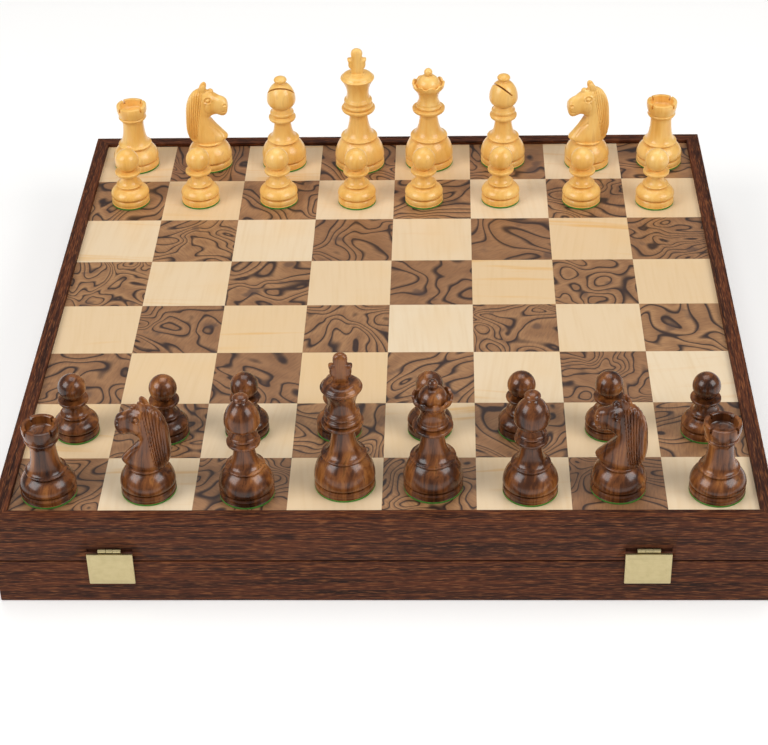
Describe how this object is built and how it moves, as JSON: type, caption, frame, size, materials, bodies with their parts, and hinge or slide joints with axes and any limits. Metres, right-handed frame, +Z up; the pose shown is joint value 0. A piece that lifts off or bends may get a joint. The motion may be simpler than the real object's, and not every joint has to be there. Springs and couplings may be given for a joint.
{
  "type": "chess set with board",
  "caption": "Chess men set up on a hinged wooden board case that closes with brass clasps and stores the men inside.",
  "frame": {"origin": "centre of the flat underside of the closed case", "axes": "+Z up out of the board, +X to the right along a rank, +Y from the clasps and the dark army to the hinges and the light army"},
  "size_m": [0.412, 0.4193, 0.1385],
  "materials": {
    "rim_wood": "satin",
    "panel_wood": "matte",
    "dark_veneer": "satin",
    "light_veneer": "satin",
    "green_felt": "matte",
    "brass": "polished",
    "screw_brass": "satin",
    "dark_men_wood": "gloss",
    "light_men_wood": "gloss"
  },
  "bodies": {
    "case": {"base_front_wall": "rim_wood", "base_right_wall": "rim_wood", "base_back_wall": "rim_wood", "base_left_wall": "rim_wood", "base_floor": "panel_wood", "base_lining": "green_felt", "base_screws": "screw_brass", "left_hinge_base_leaf": "brass", "left_hinge_pin": "screw_brass", "left_clasp_catch": "brass", "right_hinge_base_leaf": "brass", "right_hinge_pin": "screw_brass", "right_clasp_catch": "brass"},
    "lid": {"lid_front_wall": "rim_wood", "lid_right_wall": "rim_wood", "lid_back_wall": "rim_wood", "lid_left_wall": "rim_wood", "lid_panel": "panel_wood", "lid_lining": "green_felt", "light_squares": "light_veneer", "dark_squares": "dark_veneer", "lid_screws": "screw_brass", "left_hinge_lid_leaf": "brass", "right_hinge_lid_leaf": "brass", "left_clasp_leaf": "brass", "right_clasp_leaf": "brass"},
    "left_clasp": {"left_clasp_flap": "brass"},
    "right_clasp": {"right_clasp_flap": "brass"},
    "dark_rook_1": {"dark_rook_1": "dark_men_wood"},
    "dark_pawn_1": {"dark_pawn_1": "dark_men_wood"},
    "dark_knight_1": {"dark_knight_1": "dark_men_wood"},
    "dark_pawn_2": {"dark_pawn_2": "dark_men_wood"},
    "dark_bishop_1": {"dark_bishop_1": "dark_men_wood"},
    "dark_pawn_3": {"dark_pawn_3": "dark_men_wood"},
    "dark_king": {"dark_king": "dark_men_wood"},
    "dark_pawn_4": {"dark_pawn_4": "dark_men_wood"},
    "dark_queen": {"dark_queen": "dark_men_wood"},
    "dark_pawn_5": {"dark_pawn_5": "dark_men_wood"},
    "dark_bishop_2": {"dark_bishop_2": "dark_men_wood"},
    "dark_pawn_6": {"dark_pawn_6": "dark_men_wood"},
    "dark_knight_2": {"dark_knight_2": "dark_men_wood"},
    "dark_pawn_7": {"dark_pawn_7": "dark_men_wood"},
    "dark_rook_2": {"dark_rook_2": "dark_men_wood"},
    "dark_pawn_8": {"dark_pawn_8": "dark_men_wood"},
    "light_rook_1": {"light_rook_1": "light_men_wood"},
    "light_pawn_1": {"light_pawn_1": "light_men_wood"},
    "light_knight_1": {"light_knight_1": "light_men_wood"},
    "light_pawn_2": {"light_pawn_2": "light_men_wood"},
    "light_bishop_1": {"light_bishop_1": "light_men_wood"},
    "light_pawn_3": {"light_pawn_3": "light_men_wood"},
    "light_king": {"light_king": "light_men_wood"},
    "light_pawn_4": {"light_pawn_4": "light_men_wood"},
    "light_queen": {"light_queen": "light_men_wood"},
    "light_pawn_5": {"light_pawn_5": "light_men_wood"},
    "light_bishop_2": {"light_bishop_2": "light_men_wood"},
    "light_pawn_6": {"light_pawn_6": "light_men_wood"},
    "light_knight_2": {"light_knight_2": "light_men_wood"},
    "light_pawn_7": {"light_pawn_7": "light_men_wood"},
    "light_rook_2": {"light_rook_2": "light_men_wood"},
    "light_pawn_8": {"light_pawn_8": "light_men_wood"}
  },
  "joints": [
    {"name": "lid_hinge", "type": "hinge", "parent": "case", "child": "lid", "pos_m": [0, 0.2085, 0.028], "axis": [-1, 0, 0], "range_deg": [0, 180]},
    {"name": "left_clasp_hinge", "type": "hinge", "parent": "lid", "child": "left_clasp", "pos_m": [-0.144, -0.2064, 0.0354], "axis": [-1, 0, 0], "range_deg": [0, 120]},
    {"name": "right_clasp_hinge", "type": "hinge", "parent": "lid", "child": "right_clasp", "pos_m": [0.14, -0.2064, 0.0354], "axis": [-1, 0, 0], "range_deg": [0, 120]},
    {"name": "dark_bishop_1_lift", "type": "slide", "parent": "lid", "child": "dark_bishop_1", "axis": [0, 0, 1], "range_m": [0, 0.1]},
    {"name": "dark_bishop_2_lift", "type": "slide", "parent": "lid", "child": "dark_bishop_2", "axis": [0, 0, 1], "range_m": [0, 0.1]},
    {"name": "dark_king_lift", "type": "slide", "parent": "lid", "child": "dark_king", "axis": [0, 0, 1], "range_m": [0, 0.1]},
    {"name": "dark_knight_1_lift", "type": "slide", "parent": "lid", "child": "dark_knight_1", "axis": [0, 0, 1], "range_m": [0, 0.1]},
    {"name": "dark_knight_2_lift", "type": "slide", "parent": "lid", "child": "dark_knight_2", "axis": [0, 0, 1], "range_m": [0, 0.1]},
    {"name": "dark_queen_lift", "type": "slide", "parent": "lid", "child": "dark_queen", "axis": [0, 0, 1], "range_m": [0, 0.1]},
    {"name": "dark_rook_1_lift", "type": "slide", "parent": "lid", "child": "dark_rook_1", "axis": [0, 0, 1], "range_m": [0, 0.1]},
    {"name": "dark_rook_2_lift", "type": "slide", "parent": "lid", "child": "dark_rook_2", "axis": [0, 0, 1], "range_m": [0, 0.1]},
    {"name": "light_bishop_1_lift", "type": "slide", "parent": "lid", "child": "light_bishop_1", "axis": [0, 0, 1], "range_m": [0, 0.1]},
    {"name": "light_bishop_2_lift", "type": "slide", "parent": "lid", "child": "light_bishop_2", "axis": [0, 0, 1], "range_m": [0, 0.1]},
    {"name": "light_king_lift", "type": "slide", "parent": "lid", "child": "light_king", "axis": [0, 0, 1], "range_m": [0, 0.1]},
    {"name": "light_knight_1_lift", "type": "slide", "parent": "lid", "child": "light_knight_1", "axis": [0, 0, 1], "range_m": [0, 0.1]},
    {"name": "light_knight_2_lift", "type": "slide", "parent": "lid", "child": "light_knight_2", "axis": [0, 0, 1], "range_m": [0, 0.1]},
    {"name": "light_queen_lift", "type": "slide", "parent": "lid", "child": "light_queen", "axis": [0, 0, 1], "range_m": [0, 0.1]},
    {"name": "light_rook_1_lift", "type": "slide", "parent": "lid", "child": "light_rook_1", "axis": [0, 0, 1], "range_m": [0, 0.1]},
    {"name": "light_rook_2_lift", "type": "slide", "parent": "lid", "child": "light_rook_2", "axis": [0, 0, 1], "range_m": [0, 0.1]},
    {"name": "dark_pawn_1_lift", "type": "slide", "parent": "lid", "child": "dark_pawn_1", "axis": [0, 0, 1], "range_m": [0, 0.1]},
    {"name": "dark_pawn_2_lift", "type": "slide", "parent": "lid", "child": "dark_pawn_2", "axis": [0, 0, 1], "range_m": [0, 0.1]},
    {"name": "dark_pawn_3_lift", "type": "slide", "parent": "lid", "child": "dark_pawn_3", "axis": [0, 0, 1], "range_m": [0, 0.1]},
    {"name": "dark_pawn_4_lift", "type": "slide", "parent": "lid", "child": "dark_pawn_4", "axis": [0, 0, 1], "range_m": [0, 0.1]},
    {"name": "dark_pawn_5_lift", "type": "slide", "parent": "lid", "child": "dark_pawn_5", "axis": [0, 0, 1], "range_m": [0, 0.1]},
    {"name": "dark_pawn_6_lift", "type": "slide", "parent": "lid", "child": "dark_pawn_6", "axis": [0, 0, 1], "range_m": [0, 0.1]},
    {"name": "dark_pawn_7_lift", "type": "slide", "parent": "lid", "child": "dark_pawn_7", "axis": [0, 0, 1], "range_m": [0, 0.1]},
    {"name": "dark_pawn_8_lift", "type": "slide", "parent": "lid", "child": "dark_pawn_8", "axis": [0, 0, 1], "range_m": [0, 0.1]},
    {"name": "light_pawn_1_lift", "type": "slide", "parent": "lid", "child": "light_pawn_1", "axis": [0, 0, 1], "range_m": [0, 0.1]},
    {"name": "light_pawn_2_lift", "type": "slide", "parent": "lid", "child": "light_pawn_2", "axis": [0, 0, 1], "range_m": [0, 0.1]},
    {"name": "light_pawn_3_lift", "type": "slide", "parent": "lid", "child": "light_pawn_3", "axis": [0, 0, 1], "range_m": [0, 0.1]},
    {"name": "light_pawn_4_lift", "type": "slide", "parent": "lid", "child": "light_pawn_4", "axis": [0, 0, 1], "range_m": [0, 0.1]},
    {"name": "light_pawn_5_lift", "type": "slide", "parent": "lid", "child": "light_pawn_5", "axis": [0, 0, 1], "range_m": [0, 0.1]},
    {"name": "light_pawn_6_lift", "type": "slide", "parent": "lid", "child": "light_pawn_6", "axis": [0, 0, 1], "range_m": [0, 0.1]},
    {"name": "light_pawn_7_lift", "type": "slide", "parent": "lid", "child": "light_pawn_7", "axis": [0, 0, 1], "range_m": [0, 0.1]},
    {"name": "light_pawn_8_lift", "type": "slide", "parent": "lid", "child": "light_pawn_8", "axis": [0, 0, 1], "range_m": [0, 0.1]}
  ]
}
